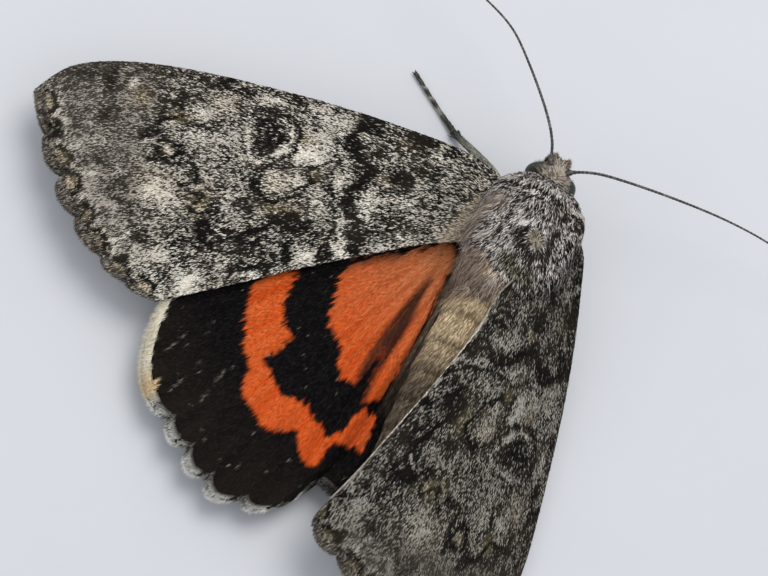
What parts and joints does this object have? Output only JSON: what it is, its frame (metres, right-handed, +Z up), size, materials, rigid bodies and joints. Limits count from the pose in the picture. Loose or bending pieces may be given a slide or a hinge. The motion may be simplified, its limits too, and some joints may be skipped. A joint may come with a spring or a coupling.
{
  "type": "underwing moth",
  "caption": "Life-size underwing moth at rest: grey bark-patterned forewings, one pair half open over an orange and black banded hindwing.",
  "frame": {"origin": "centre of the bounding box's base, on the floor that the feet stand on", "axes": "+Y towards the head, +X to the moth's right, +Z up, floor at z = 0"},
  "size_m": [0.0634, 0.0546, 0.0105],
  "materials": {
    "forewing": "matte scales, grey, black and white speckle",
    "hindwing": "matte scales, orange with black bands and a cream fringe",
    "thorax": "dense short hair-like scales",
    "abdomen": "smooth short scales, buff-grey",
    "head": "short beige-grey tufts",
    "eye": "glossy, finely faceted",
    "antenna": "satin dark grey-brown",
    "leg": "short scales in dark and pale bands"
  },
  "bodies": {
    "root": {"head": "head", "eye_left": "eye", "eye_right": "eye", "palp_left": "head", "palp_right": "head", "antenna_left": "antenna", "antenna_right": "antenna", "thorax": "thorax", "abdomen": "abdomen", "forewing_left": "forewing", "forewing_right": "forewing", "hindwing_left": "hindwing", "hindwing_right": "hindwing", "foreleg_left": "leg", "foreleg_right": "leg", "midleg_left": "leg", "midleg_right": "leg", "hindleg_left": "leg", "hindleg_right": "leg"}
  },
  "joints": []
}
